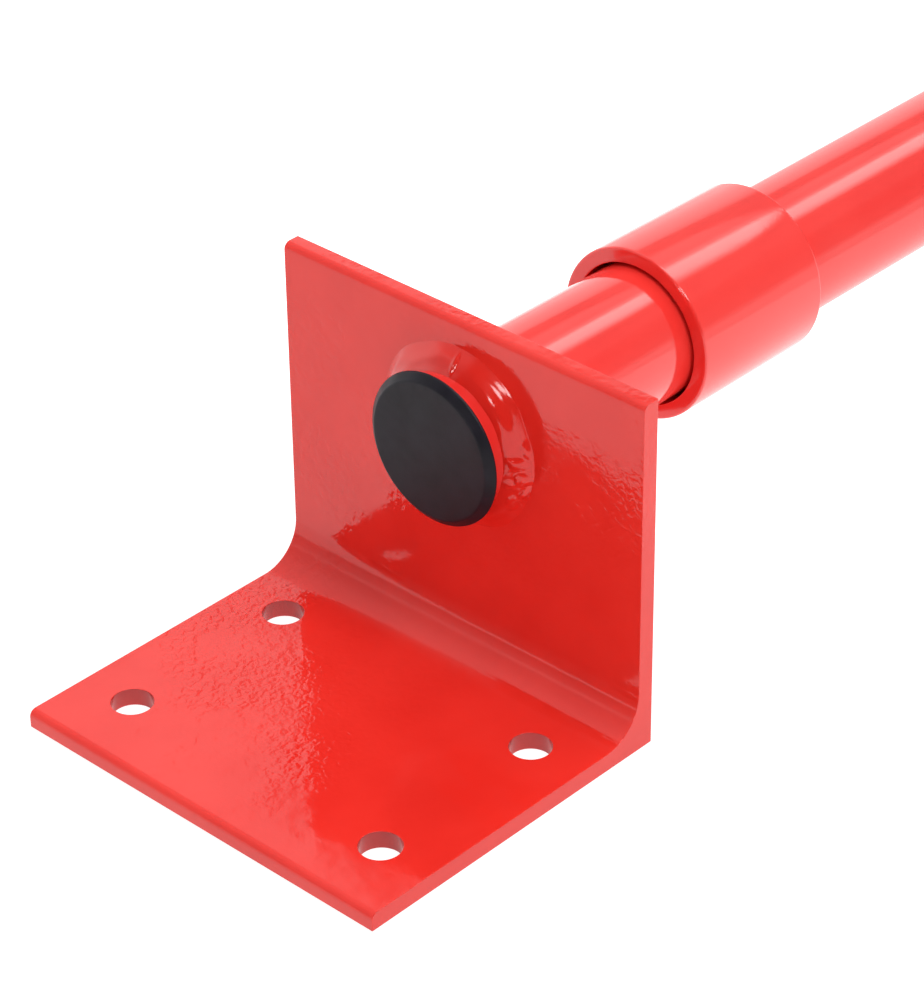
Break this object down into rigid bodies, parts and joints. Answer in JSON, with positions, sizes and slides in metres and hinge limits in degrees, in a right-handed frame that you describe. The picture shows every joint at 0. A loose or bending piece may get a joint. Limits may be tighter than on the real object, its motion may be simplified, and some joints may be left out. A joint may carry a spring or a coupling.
{
  "type": "telescopic door security bar",
  "caption": "Red steel telescopic bar that locks across a door: an angle bracket with fixing holes welded to each end, a joint sleeve, capped tube ends and a keyed push lock.",
  "frame": {"origin": "middle of the closed bar's length and width, on the wall face of the two flat legs", "axes": "+X along the bar from the near bracket to the far bracket, +Z away from the wall, +Y across the bar"},
  "size_m": [0.98, 0.12, 0.1318],
  "materials": {
    "red_paint": "glossy powder coat with orange peel",
    "black_plastic": "satin moulded polyethylene",
    "zinc_steel": "bright zinc plate",
    "lock_chrome": "satin chrome plate",
    "lock_brass": "machined brass",
    "nylon": "natural nylon"
  },
  "bodies": {
    "fixed_half": {"far_bracket": "red_paint", "outer_tube": "red_paint", "far_front_weld": "red_paint", "far_back_weld": "red_paint", "far_end_plug": "black_plastic", "joint_sleeve": "red_paint", "sleeve_plug_welds": "red_paint", "front_guide_bush": "nylon", "lock_housing": "red_paint", "housing_weld": "red_paint", "plunger_spring": "zinc_steel", "barrel_set_screw": "zinc_steel", "stop_boss": "red_paint", "stop_boss_weld": "red_paint", "stop_screw": "zinc_steel"},
    "sliding_half": {"near_bracket": "red_paint", "near_stub_tube": "red_paint", "near_front_weld": "red_paint", "near_back_weld": "red_paint", "near_end_plug": "black_plastic", "inner_tube": "zinc_steel", "packing_rings": "zinc_steel", "seam_weld": "zinc_steel", "rear_guide_bush": "nylon"},
    "push_barrel": {"lock_barrel": "lock_chrome", "lock_bolt": "zinc_steel", "cover_rivet": "lock_chrome"},
    "key_core": {"key_core": "lock_brass"},
    "latch_lug": {"latch_lug": "zinc_steel"},
    "dust_cover": {"dust_cover": "lock_chrome"}
  },
  "joints": [
    {"name": "bar_slide", "type": "slide", "parent": "fixed_half", "child": "sliding_half", "axis": [-1, 0, 0], "range_m": [0, 0.4]},
    {"name": "barrel_push", "type": "slide", "parent": "fixed_half", "child": "push_barrel", "axis": [0, 0, -1], "range_m": [0, 0.008], "stiffness_N_per_m": 400, "springref_m": -0.005, "deforming": ["plunger_spring"]},
    {"name": "key_turn", "type": "hinge", "parent": "push_barrel", "child": "key_core", "pos_m": [-0.13, 0, 0.12], "axis": [0, 0, 1], "range_deg": [0, 90]},
    {"name": "lug_slide", "type": "slide", "parent": "push_barrel", "child": "latch_lug", "axis": [0, 1, 0], "range_m": [0, 0.0013]},
    {"name": "cover_swing", "type": "hinge", "parent": "push_barrel", "child": "dust_cover", "pos_m": [-0.1386, 0, 0.1305], "axis": [0, 0, 1], "range_deg": [0, 110]}
  ],
  "couplings": [
    {"joint": "lug_slide", "follows": "key_turn", "m_per_rad": 0.00082}
  ]
}
